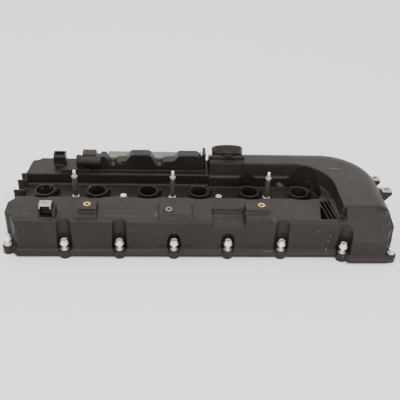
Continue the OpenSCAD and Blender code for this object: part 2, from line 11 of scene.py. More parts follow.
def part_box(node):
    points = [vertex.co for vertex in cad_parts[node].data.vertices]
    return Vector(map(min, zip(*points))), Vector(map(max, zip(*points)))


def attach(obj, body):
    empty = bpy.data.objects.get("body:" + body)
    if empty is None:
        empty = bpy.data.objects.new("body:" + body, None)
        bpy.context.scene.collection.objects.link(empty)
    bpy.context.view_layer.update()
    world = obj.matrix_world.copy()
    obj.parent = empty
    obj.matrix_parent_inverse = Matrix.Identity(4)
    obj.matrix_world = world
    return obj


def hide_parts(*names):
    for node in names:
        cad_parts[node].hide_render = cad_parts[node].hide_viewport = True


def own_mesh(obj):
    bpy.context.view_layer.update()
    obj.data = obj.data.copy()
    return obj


bl_info = {
    "name": "Cylinder Head Cover",
    "version": (1, 0, 0),
    "blender": (4, 5, 0),
    "location": "View3D > Sidebar > Head Cover",
    "description": "Dresses a cylinder head cover: moulded nylon, captive bolts, clip nuts, seals and caps",
    "category": "Object",
}

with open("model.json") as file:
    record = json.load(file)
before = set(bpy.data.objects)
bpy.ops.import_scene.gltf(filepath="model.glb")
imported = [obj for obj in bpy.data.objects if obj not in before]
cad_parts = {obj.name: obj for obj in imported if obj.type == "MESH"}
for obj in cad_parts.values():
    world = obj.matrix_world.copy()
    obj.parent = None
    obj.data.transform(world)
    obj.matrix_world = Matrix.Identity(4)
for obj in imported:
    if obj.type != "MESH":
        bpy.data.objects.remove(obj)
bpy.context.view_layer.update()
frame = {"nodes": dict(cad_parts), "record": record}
NODES = frame["nodes"]
MM = 0.001
FULL_TURN = 2 * math.pi
FRONT_BOLTS = [f"front_bolt_{i}" for i in range(1, 9)]
REAR_BOLTS = [f"rear_bolt_{i}" for i in range(1, 8)]
TRENCH_BOLTS = [f"trench_bolt_{i}" for i in range(1, 3)]
STUDS = [f"stud_bolt_{i}" for i in range(1, 4)]
SPACERS = [f"stud_spacer_{i}" for i in range(1, 4)]

# Fasteners, in millimetres
HEAD_ACROSS = 10.0
HEAD_HEIGHT = 8.0
FLANGE_RADIUS = 7.4
SHANK_RADIUS = 3.0
CORE_RADIUS = 2.62
CREST_RADIUS = 2.98
POINT_RADIUS = 2.1
DISH_DEPTH = 0.35
SHOULDER_RADIUS = 5.8
SHOULDER_HEIGHT = 1.5
SPACER_RADIUS = 4.6
SPACER_BORE = 2.66
SPACER_TOP_RADIUS = 5.2

# Steps of a full turn
LATHE_STEPS = 32
THREAD_STEPS = 16

# Angles in degrees: up to FLAT_TO faces are joined, from HARD_FROM an edge is broken
FLAT_TO = 0.6
HARD_FROM = 28.0
MOULDED_CREASE = 50.0
BEVELLED_CREASE = 32.0
TURNED_CREASE = 38.0
WIRE_CREASE = 60.0

# Smoothing passes for the thin mouldings, which the usual number would wear away
FEW_PASSES = 3


# ---- Settings ----
class FinishSettings(bpy.types.PropertyGroup):
    nylon: bpy.props.FloatVectorProperty(
        name="Nylon", description="Colour of the black glass filled nylon", subtype="COLOR",
        default=(0.0150, 0.0112, 0.0092),
    )
    nylon_inner: bpy.props.FloatVectorProperty(
        name="Inner nylon", description="Colour of the baffles and pipes", subtype="COLOR",
        default=(0.020, 0.017, 0.015),
    )
    # Painted highlight: the rear flank is black nylon, coloured grey as if lit from behind
    nylon_grey: bpy.props.FloatVectorProperty(
        name="Rear flank", description="Colour of the rear flank, painted grey as a highlight from behind", subtype="COLOR",
        default=(0.16, 0.145, 0.13),
    )
    # Also colours the nylon's edges, partly wear and partly a painted highlight
    scuff_and_highlight: bpy.props.FloatVectorProperty(
        name="Scuff", description="Colour of scratched and rubbed nylon", subtype="COLOR",
        default=(0.12, 0.105, 0.09),
    )
    rubber: bpy.props.FloatVectorProperty(
        name="Rubber", description="Colour of gasket and grommets", subtype="COLOR",
        default=(0.012, 0.012, 0.013),
    )
    silicone: bpy.props.FloatVectorProperty(
        name="Silicone", description="Colour of the breather's O ring", subtype="COLOR",
        default=(0.33, 0.06, 0.03),
    )
    zinc: bpy.props.FloatVectorProperty(
        name="Bright zinc", description="Colour of bolts and collars", subtype="COLOR",
        default=(0.90, 0.90, 0.88),
    )
    dull_steel: bpy.props.FloatVectorProperty(
        name="Dull steel", description="Colour of the stud spacers", subtype="COLOR",
        default=(0.36, 0.35, 0.33),
    )
    clip_steel: bpy.props.FloatVectorProperty(
        name="Clip steel", description="Colour of the spring clip nuts", subtype="COLOR",
        default=(0.50, 0.44, 0.37),
    )
    brass: bpy.props.FloatVectorProperty(
        name="Brass", description="Colour of the threaded inserts", subtype="COLOR",
        default=(0.78, 0.56, 0.22),
    )
    grime: bpy.props.FloatVectorProperty(
        name="Grime", description="Colour of the stains on bright metal", subtype="COLOR",
        default=(0.22, 0.19, 0.15),
    )
    rust: bpy.props.FloatVectorProperty(
        name="Rust", description="Colour of the stains on clip nuts", subtype="COLOR",
        default=(0.24, 0.15, 0.09),
    )
    tarnish: bpy.props.FloatVectorProperty(
        name="Tarnish", description="Colour of the stains on brass", subtype="COLOR",
        default=(0.25, 0.14, 0.05),
    )
    bare_edge: bpy.props.FloatVectorProperty(
        name="Bare edge", description="Colour of metal where its plating is rubbed off", subtype="COLOR",
        default=(0.86, 0.86, 0.85),
    )
    dust: bpy.props.FloatVectorProperty(
        name="Dust", description="Colour of the dust on nylon", subtype="COLOR",
        default=(0.30, 0.28, 0.25),
    )
    rubber_dust: bpy.props.FloatVectorProperty(
        name="Rubber dust", description="Colour of the dust on rubber", subtype="COLOR",
        default=(0.24, 0.23, 0.21),
    )


class MouldSettings(bpy.types.PropertyGroup):
    shell_grid: bpy.props.FloatProperty(
        name="Shell grid", description="Grid that rounds the big moulding", default=0.00125, unit="LENGTH",
    )
    small_grid: bpy.props.FloatProperty(
        name="Small grid", description="Grid that rounds the small mouldings", default=0.0007, unit="LENGTH",
    )
    rounding: bpy.props.IntProperty(
        name="Rounding", description="Smoothing passes over the moulded edges", default=5,
    )
    shell_faces: bpy.props.IntProperty(
        name="Shell faces", description="Triangles kept on the big moulding", default=185000,
    )
    thread_pitch: bpy.props.FloatProperty(
        name="Thread pitch", description="Pitch of the bolts' thread", default=0.001, unit="LENGTH",
    )


class StudioSettings(bpy.types.PropertyGroup):
    camera_place: bpy.props.FloatVectorProperty(
        name="Camera", description="Where the camera stands", subtype="TRANSLATION",
        default=(-0.0749, -0.9231, 0.6940),
    )
    camera_turn: bpy.props.FloatVectorProperty(
        name="Camera turn", description="The camera's angles", subtype="EULER",
        default=(math.radians(54.84), math.radians(-2.50), math.radians(-2.69)),
    )
    lens: bpy.props.FloatProperty(
        name="Lens", description="Focal length", default=56.5, unit="CAMERA",
    )
    key_power: bpy.props.FloatProperty(
        name="Key light", description="Power of the overhead softbox", default=16.0, unit="POWER",
    )
    fill_power: bpy.props.FloatProperty(
        name="Fill light", description="Power of the front softbox", default=11.0, unit="POWER",
    )
    rim_power: bpy.props.FloatProperty(
        name="Rim light", description="Power of the softbox behind", default=1.5, unit="POWER",
    )
    sky: bpy.props.FloatProperty(
        name="Room light", description="Strength of the even white surroundings", default=1.6,
    )
    floor: bpy.props.FloatVectorProperty(
        name="Floor", description="Colour of the floor", subtype="COLOR",
        default=(0.93, 0.93, 0.93),
    )


def finish():
    return bpy.context.scene.cover_finish


def mould():
    return bpy.context.scene.cover_mould


# ---- Shader groups ----
def node(tree, kind, inputs=None, **settings):
    made = tree.nodes.new(kind)
    for key, value in settings.items():
        setattr(made, key, value)
    for key, value in (inputs or {}).items():
        socket = made.inputs[key]
        if isinstance(value, bpy.types.NodeSocket):
            tree.links.new(value, socket)
        else:
            socket.default_value = value
    return made


def maths(tree, operation, a, b=0.0, clamp=False):
    return node(tree, "ShaderNodeMath", {0: a, 1: b}, operation=operation, use_clamp=clamp).outputs[0]


def ramp(tree, value, low, high):
    """0 below low, 1 above high, smooth between."""
    span = {"Value": value, "From Min": low, "From Max": high}
    made = node(tree, "ShaderNodeMapRange", span, interpolation_type="SMOOTHSTEP")
    return made.outputs["Result"]


def noise(tree, vector, scale, detail=3.0, rough=0.55):
    given = {"Vector": vector, "Scale": scale, "Detail": detail, "Roughness": rough}
    return node(tree, "ShaderNodeTexNoise", given).outputs["Fac"]


def product(tree, *factors, clamp=False):
    """Factors multiplied in order; clamp holds the last result between 0 and 1."""
    result = factors[0]
    for index, factor in enumerate(factors[1:], 2):
        result = maths(tree, "MULTIPLY", result, factor, clamp and index == len(factors))
    return result


def new_group(name, inputs, outputs):
    tree = bpy.data.node_groups.new(name, "ShaderNodeTree")
    for label, kind, value in inputs:
        socket = tree.interface.new_socket(name=label, in_out="INPUT", socket_type=kind)
        if value is not None:
            socket.default_value = value
    for label, kind in outputs:
        tree.interface.new_socket(name=label, in_out="OUTPUT", socket_type=kind)
    return tree, tree.nodes.new("NodeGroupInput").outputs, tree.nodes.new("NodeGroupOutput").inputs


VECTOR, FLOAT = "NodeSocketVector", "NodeSocketFloat"


def make_grain_group():
    """Fine spark eroded grain with slow flow marks: a height for bump and a tone for colour."""
    tree, given, out = new_group(
        "moulded_grain", [("Vector", VECTOR, None), ("Grain", FLOAT, 900.0), ("Flow", FLOAT, 9.0)],
        [("Height", FLOAT), ("Tone", FLOAT)],
    )
    fine = noise(tree, given["Vector"], given["Grain"], 2.0, 0.6)
    coarser = product(tree, given["Grain"], 0.45)
    cells = node(tree, "ShaderNodeTexVoronoi", {"Vector": given["Vector"], "Scale": coarser})
    slow = noise(tree, given["Vector"], given["Flow"], 4.0, 0.6)
    height = maths(tree, "ADD", product(tree, fine, 0.6), product(tree, cells.outputs["Distance"], 0.4))
    tree.links.new(height, out["Height"])
    tree.links.new(slow, out["Tone"])
    return tree


# Angle of each run of scratches in degrees, and how finely it is drawn along X, Y and Z
SCRATCH_RUNS = ((24.0, (14.0, 260.0, 60.0)), (-38.0, (300.0, 18.0, 80.0)), (70.0, (22.0, 420.0, 40.0)))


def make_scuff_group():
    """Hair scratches in three directions and rubbed patches, gathered where a slow noise says."""
    tree, given, out = new_group(
        "scuffs", [("Vector", VECTOR, None), ("Amount", FLOAT, 0.5)],
        [("Scratches", FLOAT), ("Rubbed", FLOAT)],
    )
    lines = None
    for angle, stretch in SCRATCH_RUNS:
        turned = node(
            tree, "ShaderNodeMapping",
            {"Vector": given["Vector"], "Rotation": (0.3, 0.2, math.radians(angle)), "Scale": stretch},
        )
        streak = ramp(tree, noise(tree, turned.outputs["Vector"], 1.0, 2.0, 0.5), 0.69, 0.74)
        lines = streak if lines is None else maths(tree, "MAXIMUM", lines, streak)
    where = ramp(tree, noise(tree, given["Vector"], 13.0, 3.0, 0.6), 0.50, 0.64)
    scratches = product(tree, lines, where, given["Amount"], clamp=True)
    patches = ramp(tree, noise(tree, given["Vector"], 31.0, 5.0, 0.7), 0.56, 0.74)
    rubbed = product(tree, patches, where, given["Amount"], clamp=True)
    tree.links.new(scratches, out["Scratches"])
    tree.links.new(rubbed, out["Rubbed"])
    return tree


def make_edge_group():
    """Edge wear and painted edge highlights: where the rounded normal leaves the true one, broken up by
    noise.
    """
    tree, given, out = new_group(
        "edge_wear_and_highlight", [("Vector", VECTOR, None), ("Width", FLOAT, 0.0012), ("Amount", FLOAT, 0.5)],
        [("Mask", FLOAT)],
    )
    rounded = node(tree, "ShaderNodeBevel", {"Radius": given["Width"]}, samples=4)
    surface = node(tree, "ShaderNodeNewGeometry")
    normals = {0: rounded.outputs["Normal"], 1: surface.outputs["Normal"]}
    together = node(tree, "ShaderNodeVectorMath", normals, operation="DOT_PRODUCT").outputs["Value"]
    edge = ramp(tree, maths(tree, "SUBTRACT", 1.0, together), 0.004, 0.09)
    broken = ramp(tree, noise(tree, given["Vector"], 140.0, 4.0, 0.7), 0.30, 0.62)
    mask = product(tree, edge, broken, given["Amount"], clamp=True)
    tree.links.new(mask, out["Mask"])
    return tree


def make_dust_group():
    """Dust that lies on faces that look up, thicker in blotches."""
    tree, given, out = new_group(
        "settled_dust", [("Vector", VECTOR, None), ("Amount", FLOAT, 0.2)],
        [("Mask", FLOAT)],
    )
    surface = node(tree, "ShaderNodeNewGeometry")
    up = node(tree, "ShaderNodeSeparateXYZ", {0: surface.outputs["Normal"]}).outputs["Z"]
    blotch = ramp(tree, noise(tree, given["Vector"], 45.0, 6.0, 0.75), 0.35, 0.75)
    specks = ramp(tree, noise(tree, given["Vector"], 620.0, 2.0, 0.5), 0.66, 0.74)
    cover = maths(tree, "ADD", product(tree, blotch, 0.6), specks, True)
    mask = product(tree, ramp(tree, up, 0.3, 0.95), cover, given["Amount"], clamp=True)
    tree.links.new(mask, out["Mask"])
    return tree


GROUP_MAKERS = {
    "moulded_grain": make_grain_group,
    "scuffs": make_scuff_group,
    "edge_wear_and_highlight": make_edge_group,
    "settled_dust": make_dust_group,
}


def shared(tree, name, inputs):
    """Outputs of a shared effect placed in this material; its group is built the first time."""
    group = bpy.data.node_groups.get(name) or GROUP_MAKERS[name]()
    return node(tree, "ShaderNodeGroup", inputs, node_tree=group).outputs


# ---- Materials ----
def start_material(name):
    """A new material: itself, its node tree, its Principled shader and the piece's own coordinates."""
    material = bpy.data.materials.new(f"cover_{name}")
    material.use_nodes = True
    tree = material.node_tree
    tree.nodes.clear()
    surface = tree.nodes.new("ShaderNodeBsdfPrincipled")
    out = tree.nodes.new("ShaderNodeOutputMaterial")
    tree.links.new(surface.outputs[0], out.inputs[0])
    place = node(tree, "ShaderNodeTexCoord").outputs["Object"]
    return material, tree, surface, place


def mix(tree, mask, a, b):
    """Colour a where the mask is 0 and b where it is 1."""
    made = node(tree, "ShaderNodeMix", data_type="RGBA")
    slots = {"Factor": mask, "A": a, "B": b}
    for label, value in slots.items():
        socket = next(s for s in made.inputs if s.name == label and s.enabled)
        if isinstance(value, bpy.types.NodeSocket):
            tree.links.new(value, socket)
        else:
            socket.default_value = value if label == "Factor" else (*value[:3], 1.0)
    return next(s for s in made.outputs if s.enabled)


def tinted(colour, factor):
    return tuple(channel * factor for channel in colour[:3])


def moulded_material(name, colour, wear, dust, rough=0.42, grain=900.0):
    """Satin glass filled nylon with grain, flow marks, scratches, edge wear and dust; its edges are painted
    lighter, partly wear and partly a painted highlight.
    """
    material, tree, surface, place = start_material(name)
    scuff_and_highlight = finish().scuff_and_highlight
    grained = shared(tree, "moulded_grain", {"Vector": place, "Grain": grain})
    scratched = shared(tree, "scuffs", {"Vector": place, "Amount": wear})
    wear_and_highlight = shared(tree, "edge_wear_and_highlight", {"Vector": place, "Amount": wear})
    dusty = shared(tree, "settled_dust", {"Vector": place, "Amount": dust})
    base = mix(tree, ramp(tree, grained["Tone"], 0.35, 0.65), tinted(colour, 0.86), tinted(colour, 1.16))
    base = mix(tree, product(tree, scratched["Rubbed"], 0.28), base, scuff_and_highlight)
    # Edges painted lighter: partly wear, partly a painted highlight along the rounded edges
    base = mix(tree, product(tree, wear_and_highlight["Mask"], 0.55), base, tinted(scuff_and_highlight, 0.8))
    base = mix(tree, product(tree, dusty["Mask"], 0.5), base, finish().dust)
    base = mix(tree, product(tree, scratched["Scratches"], 0.75), base, tinted(scuff_and_highlight, 1.9))
    tree.links.new(base, surface.inputs["Base Color"])
    uneven = maths(tree, "ADD", product(tree, grained["Tone"], 0.16), rough - 0.08)
    duller = maths(tree, "ADD", scratched["Rubbed"], dusty["Mask"])
    uneven = maths(tree, "ADD", uneven, product(tree, duller, 0.18))
    tree.links.new(uneven, surface.inputs["Roughness"])
    height = maths(tree, "SUBTRACT", grained["Height"], product(tree, scratched["Scratches"], 0.8))
    raised = node(tree, "ShaderNodeBump", {"Height": height, "Strength": 0.25, "Distance": 0.00012})
    tree.links.new(raised.outputs["Normal"], surface.inputs["Normal"])
    surface.inputs["Specular IOR Level"].default_value = 0.22
    return material


def rubber_material(name, colour):
    """Matt rubber with a fine bloom and a little dust."""
    material, tree, surface, place = start_material(name)
    grained = shared(tree, "moulded_grain", {"Vector": place, "Grain": 1500.0, "Flow": 25.0})
    dusty = shared(tree, "settled_dust", {"Vector": place, "Amount": 0.25})
    bloom = ramp(tree, grained["Tone"], 0.45, 0.7)
    base = mix(tree, bloom, colour, tinted(colour, 1.9))
    base = mix(tree, product(tree, dusty["Mask"], 0.6), base, finish().rubber_dust)
    tree.links.new(base, surface.inputs["Base Color"])
    uneven = maths(tree, "ADD", product(tree, bloom, 0.12), 0.62)
    tree.links.new(uneven, surface.inputs["Roughness"])
    raised = node(tree, "ShaderNodeBump", {"Height": grained["Height"], "Strength": 0.2, "Distance": 0.0001})
    tree.links.new(raised.outputs["Normal"], surface.inputs["Normal"])
    return material


def metal_material(name, colour, rough, stain, stain_colour=None, tool_marks=0.0, metallic=1.0):
    """Plated or machined metal: blotchy plating, stains, worn edges and, if given, tool marks along Z."""
    material, tree, surface, place = start_material(name)
    wear_and_highlight = shared(tree, "edge_wear_and_highlight", {"Vector": place, "Width": 0.0005, "Amount": 0.6})
    grained = shared(tree, "moulded_grain", {"Vector": place, "Grain": 1800.0, "Flow": 60.0})
    spots = ramp(tree, noise(tree, place, 260.0, 5.0, 0.7), 0.54, 0.72)
    base = mix(tree, ramp(tree, grained["Tone"], 0.35, 0.65), tinted(colour, 0.88), colour)
    base = mix(tree, product(tree, spots, stain), base, stain_colour or finish().grime)
    base = mix(tree, product(tree, wear_and_highlight["Mask"], 0.5), base, finish().bare_edge)
    tree.links.new(base, surface.inputs["Base Color"])
    surface.inputs["Metallic"].default_value = metallic
    uneven = maths(tree, "ADD", rough - 0.05, product(tree, grained["Tone"], 0.12))
    uneven = maths(tree, "ADD", uneven, product(tree, spots, stain * 0.4))
    tree.links.new(uneven, surface.inputs["Roughness"])
    height = grained["Height"]
    if tool_marks:
        given = {"Vector": place, "Scale": tool_marks, "Distortion": 0.4, "Detail": 1.0}
        rings = node(tree, "ShaderNodeTexWave", given, wave_type="BANDS", bands_direction="Z")
        height = maths(tree, "ADD", height, product(tree, rings.outputs["Fac"], 0.5))
    raised = node(tree, "ShaderNodeBump", {"Height": height, "Strength": 0.12, "Distance": 0.00008})
    tree.links.new(raised.outputs["Normal"], surface.inputs["Normal"])
    return material


def make_materials():
    look = finish()
    nylons = {
        "nylon_black": dict(colour=look.nylon, wear=0.6, dust=0.10),
        # nylon_grey is black nylon painted grey: a painted highlight, as if lit from behind
        "nylon_grey": dict(colour=look.nylon_grey, wear=0.5, dust=0.3, rough=0.5),
        "nylon_inner": dict(colour=look.nylon_inner, wear=0.2, dust=0.05, rough=0.55),
        "nylon_cap": dict(colour=tinted(look.nylon, 0.8), wear=0.6, dust=0.12, rough=0.33, grain=1400.0),
    }
    rubbers = {"rubber_black": look.rubber, "rubber_red": look.silicone}
    metals = {
        "bolt_zinc": dict(colour=look.zinc, rough=0.28, stain=0.12, metallic=0.75),
        "stud_steel": dict(colour=look.zinc, rough=0.3, stain=0.15, tool_marks=900.0, metallic=0.65),
        "spacer_steel": dict(colour=look.dull_steel, rough=0.42, stain=0.35, tool_marks=500.0),
        "clip_steel": dict(colour=look.clip_steel, rough=0.36, stain=0.3, stain_colour=look.rust),
        "brass": dict(colour=look.brass, rough=0.25, stain=0.25, stain_colour=look.tarnish, tool_marks=700.0),
    }
    made = {name: moulded_material(name, **values) for name, values in nylons.items()}
    made.update((name, rubber_material(name, colour)) for name, colour in rubbers.items())
    made.update((name, metal_material(name, **values)) for name, values in metals.items())
    return made


FINISHES = {}
SLOT_OF = {part["node"]: part["material_slot"] for part in frame["record"]["subparts"]}
BODY_OF = {name: body for body, names in frame["record"]["behaviour"]["bodies"].items() for name in names}


# ---- Mesh helpers ----
def new_object(name, mesh, slot, body, *replaced):
    """Links the mesh as one piece, with its material, its body and the CAD nodes it stands for."""
    if not mesh.polygons:
        raise RuntimeError(f"{name} came out empty")
    made = bpy.data.objects.new(name, mesh)
    bpy.context.scene.collection.objects.link(made)
    mesh.name = name
    mesh.materials.clear()
    mesh.materials.append(FINISHES[slot])
    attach(made, body)
    if replaced:
        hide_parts(*replaced)
    return made


def shade(mesh, crease):
    """Smooth shading, but for edges bent by more than crease degrees."""
    mesh.shade_smooth()
    mesh.set_sharp_from_angle(angle=math.radians(crease))


def copied(name):
    """A bmesh copy of a CAD node, its doubled corners merged."""
    made = bmesh.new()
    made.from_mesh(NODES[name].data)
    bmesh.ops.remove_doubles(made, verts=made.verts, dist=0.004 * MM)
    return made


def to_mesh(made, name):
    bmesh.ops.recalc_face_normals(made, faces=made.faces)
    mesh = bpy.data.meshes.new(name)
    made.to_mesh(mesh)
    made.free()
    return mesh


def applied(mesh, name, modifiers):
    """The mesh after a row of modifiers, as a mesh of its own."""
    holder = bpy.data.objects.new(name, mesh)
    bpy.context.scene.collection.objects.link(holder)
    for kind, values in modifiers:
        modifier = holder.modifiers.new(kind.lower(), kind)
        for key, value in values.items():
            setattr(modifier, key, value)
    graph = bpy.context.evaluated_depsgraph_get()
    result = bpy.data.meshes.new_from_object(holder.evaluated_get(graph))
    bpy.data.objects.remove(holder)
    return result


def moulded(source, name, slot, grid, passes, faces):
    """Rounds every edge of a moulding: a fine even grid over its copy, smoothed, then thinned."""
    body = to_mesh(copied(source), name)
    skin = applied(body, name, [("REMESH", {"mode": "VOXEL", "voxel_size": grid, "use_smooth_shade": True})])
    count = 2 * len(skin.polygons)
    steps = [("SMOOTH", {"factor": 0.5, "iterations": passes})]
    if count > faces:
        steps.append(("DECIMATE", {"ratio": faces / count, "use_collapse_triangulate": True}))
    skin = applied(skin, name, steps)
    shade(skin, MOULDED_CREASE)
    return new_object(name, skin, slot, BODY_OF[source], source)


def bevelled(source, slot, width):
    """A copy of a small CAD node with every hard edge broken."""
    name = f"{source}_soft"
    made = copied(source)
    bmesh.ops.dissolve_limit(made, angle_limit=math.radians(FLAT_TO), verts=made.verts, edges=made.edges)
    hard = [e for e in made.edges if e.is_manifold and e.calc_face_angle(0.0) > math.radians(HARD_FROM)]
    bmesh.ops.bevel(
        made, geom=hard, offset=width * MM, offset_type="OFFSET", segments=2, profile=0.5,
        affect="EDGES", material=-1, clamp_overlap=True,
    )
    mesh = to_mesh(made, name)
    shade(mesh, BEVELLED_CREASE)
    return new_object(name, mesh, slot, BODY_OF[source], source)


def open_line(made, points):
    """Corners and edges through (radius, height) points in millimetres, on the XZ plane."""
    corners = [made.verts.new((r * MM, 0, z * MM)) for r, z in points]
    return corners, [made.edges.new(pair) for pair in zip(corners, corners[1:])]


def lathe(made, profile):
    """Turns a profile of (radius, height) pairs in millimetres about Z."""
    corners, edges = open_line(made, profile)
    bmesh.ops.spin(
        made, geom=corners + edges, cent=(0, 0, 0), axis=(0, 0, 1),
        angle=FULL_TURN, steps=LATHE_STEPS, use_merge=True, use_duplicate=False,
    )
    bmesh.ops.remove_doubles(made, verts=made.verts, dist=0.001 * MM)


def thread(made, low, high):
    """A helical ridge on a shank from low to high, its foot sunk in the core."""
    pitch = mould().thread_pitch / MM
    turns = (high - low) / pitch
    foot = CORE_RADIUS - 0.1
    section = [(foot, -0.46), (CREST_RADIUS, -0.07), (CREST_RADIUS, 0.07), (foot, 0.46)]
    corners, edges = open_line(made, [(r, low + share * pitch) for r, share in section])
    bmesh.ops.spin(
        made, geom=corners + edges, cent=(0, 0, 0), axis=(0, 0, 1), dvec=(0, 0, pitch * MM / THREAD_STEPS),
        angle=FULL_TURN * turns, steps=int(THREAD_STEPS * turns), use_merge=False, use_duplicate=False,
    )


def hex_head(made, low):
    """A hexagon from low to the head's height, with a broken top edge and a shallow dish."""
    radius = HEAD_ACROSS / math.sqrt(3) * MM
    ring = bmesh.ops.create_cone(
        made, cap_ends=True, segments=6, radius1=radius, radius2=radius, depth=(HEAD_HEIGHT - low) * MM,
        matrix=Matrix.Translation((0, 0, (low + HEAD_HEIGHT) / 2 * MM)),
    )["verts"]
    top = [v for v in ring if v.co.z > (HEAD_HEIGHT - 0.01) * MM]
    rim = [e for e in made.edges if all(v in top for v in e.verts)]
    upright = [e for v in top for e in v.link_edges if e not in rim]
    bmesh.ops.bevel(
        made, geom=list(dict.fromkeys(rim + upright)), offset=0.5 * MM, offset_type="OFFSET", segments=3,
        profile=0.5, affect="EDGES", material=-1, clamp_overlap=True,
    )
    level = [f for f in made.faces if f.normal.z > 0.9 or len(f.verts) > 5]
    lid = max(level, key=lambda f: f.calc_center_median().z)
    bmesh.ops.inset_individual(made, faces=[lid], thickness=0.7 * MM, depth=0.0)
    bmesh.ops.inset_individual(made, faces=[lid], thickness=DISH_DEPTH * MM, depth=-DISH_DEPTH * MM)


def placed(mesh, name, at, turn=0.0):
    """A copy of a mesh drawn about its own origin, turned and moved to its place."""
    copy = mesh.copy()
    copy.name = name
    copy.transform(Matrix.Translation(at) @ Matrix.Rotation(math.radians(turn), 4, "Z"))
    return copy


def axis_of(name):
    """Middle of a CAD node seen from above, and its lowest and highest point."""
    low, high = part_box(name)
    return (low[0] + high[0]) / 2, (low[1] + high[1]) / 2, low[2], high[2]


# ---- Fastener shapes ----
def turned_mesh(made, name):
    mesh = to_mesh(made, name)
    shade(mesh, TURNED_CREASE)
    return mesh


def flange_screw(name, length):
    """Flange head screw drawn about the underside of its head."""
    made = bmesh.new()
    flange = [(0, 1.2), (FLANGE_RADIUS - 0.4, 1.2), (FLANGE_RADIUS, 0.85), (FLANGE_RADIUS, 0.35),
              (FLANGE_RADIUS - 0.2, 0.0)]
    shank = [(SHANK_RADIUS, 0.0), (SHANK_RADIUS, -8.0), (CORE_RADIUS, -8.5), (CORE_RADIUS, 0.9 - length),
             (POINT_RADIUS, -length), (0, -length)]
    collar = [(0, 2.4), (5.2, 2.4), (6.0, 1.9), (6.5, 1.3), (6.5, 1.0), (0, 1.0)]
    lathe(made, flange + shank)
    lathe(made, collar)
    thread(made, 1.4 - length, -8.6)
    hex_head(made, 1.5)
    return turned_mesh(made, name)


def stud_shape(name, low, shoulder, high):
    """Long stud: threaded shank, shoulder disc, plain rod and a rounded tip. Heights are the row's."""
    made = bmesh.new()
    over = shoulder + SHOULDER_HEIGHT
    shank = [(0, low), (POINT_RADIUS, low), (CORE_RADIUS, low + 0.8), (CORE_RADIUS, shoulder - 6),
             (SHANK_RADIUS, shoulder - 5.6), (SHANK_RADIUS, shoulder)]
    disc = [(SHOULDER_RADIUS - 0.2, shoulder), (SHOULDER_RADIUS, shoulder + 0.3),
            (SHOULDER_RADIUS, over - 0.3), (SHOULDER_RADIUS - 0.3, over), (2.6, over)]
    rod = [(2.6, high - 5.2), (2.2, high - 4.9), (2.2, high - 4.1), (2.55, high - 3.8)]
    tip = [(2.55, high - 1.4), (2.2, high - 0.5), (1.3, high), (0, high)]
    lathe(made, shank + disc + rod + tip)
    thread(made, low + 1.0, shoulder - 6.2)
    return turned_mesh(made, name)


def spacer_shape(name, low, high):
    """Grey sleeve round the stud, with a rolled shoulder on top."""
    made = bmesh.new()
    neck = high - 2.6
    sleeve = [(SPACER_BORE, low), (SPACER_RADIUS - 0.2, low), (SPACER_RADIUS, low + 0.25),
              (SPACER_RADIUS, neck - 0.5), (SPACER_RADIUS - 0.25, neck - 0.2),
              (SPACER_RADIUS - 0.25, neck + 0.1)]
    top = [(SPACER_TOP_RADIUS, neck + 0.5), (SPACER_TOP_RADIUS, high - 0.4), (SPACER_TOP_RADIUS - 0.4, high),
           (SPACER_BORE, high), (SPACER_BORE, low)]
    lathe(made, sleeve + top)
    return turned_mesh(made, name)


# ---- Pieces ----
class COVER_OT_materials(bpy.types.Operator):
    """Makes every procedural finish and gives each CAD piece the finish of its slot"""
    bl_idname = "cover.materials"
    bl_label = "Finishes"

    def execute(self, context):
        FINISHES.update(make_materials())
        for name, obj in NODES.items():
            obj.data.materials.clear()
            obj.data.materials.append(FINISHES[SLOT_OF[name]])
        return {"FINISHED"}


class COVER_OT_shell(bpy.types.Operator):
    """Moulded cover with rounded edges in place of the sharp CAD shell"""
    bl_idname = "cover.shell"
    bl_label = "Cover moulding"

    def execute(self, context):
        size = mould()
        moulded("cover_shell", "cover_skin", "nylon_black", size.shell_grid, size.rounding, size.shell_faces)
        return {"FINISHED"}


class COVER_OT_separator(bpy.types.Operator):
    """Oil separator: housing, rear flank and weld frame with rounded edges"""
    bl_idname = "cover.separator"
    bl_label = "Oil separator"

    def execute(self, context):
        grid, passes = mould().small_grid, mould().rounding
        moulded("separator_housing", "separator_skin", "nylon_black", grid, passes, 120000)
        # The rear flank takes the grey nylon, a painted highlight as if lit from behind
        moulded("separator_rear", "separator_rear_skin", "nylon_grey", grid, passes, 30000)
        moulded("separator_frame", "separator_frame_skin", "nylon_black", grid, passes, 40000)
        return {"FINISHED"}


class COVER_OT_valve(bpy.types.Operator):
    """Pressure valve: saucer and lid with rounded edges, and a smooth shaded copy of its spring"""
    bl_idname = "cover.valve"
    bl_label = "Pressure valve"

    def execute(self, context):
        grid = mould().small_grid
        for name in ("valve_housing", "valve_lid"):
            moulded(name, f"{name}_skin", "nylon_black", grid, FEW_PASSES, 40000)
        node_name = "valve_spring"
        wire = to_mesh(copied(node_name), "valve_spring_wire")
        shade(wire, WIRE_CREASE)
        spring = new_object("valve_spring_wire", wire, SLOT_OF[node_name], BODY_OF[node_name], node_name)
        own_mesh(spring)
        return {"FINISHED"}


class COVER_OT_filler(bpy.types.Operator):
    """Oil filler: neck and ribbed cap with rounded edges"""
    bl_idname = "cover.filler"
    bl_label = "Oil filler"

    def execute(self, context):
        grid = mould().small_grid
        moulded("filler_neck", "filler_neck_skin", "nylon_black", grid, FEW_PASSES, 30000)
        moulded("filler_cap", "filler_cap_skin", "nylon_cap", grid, mould().rounding, 70000)
        return {"FINISHED"}


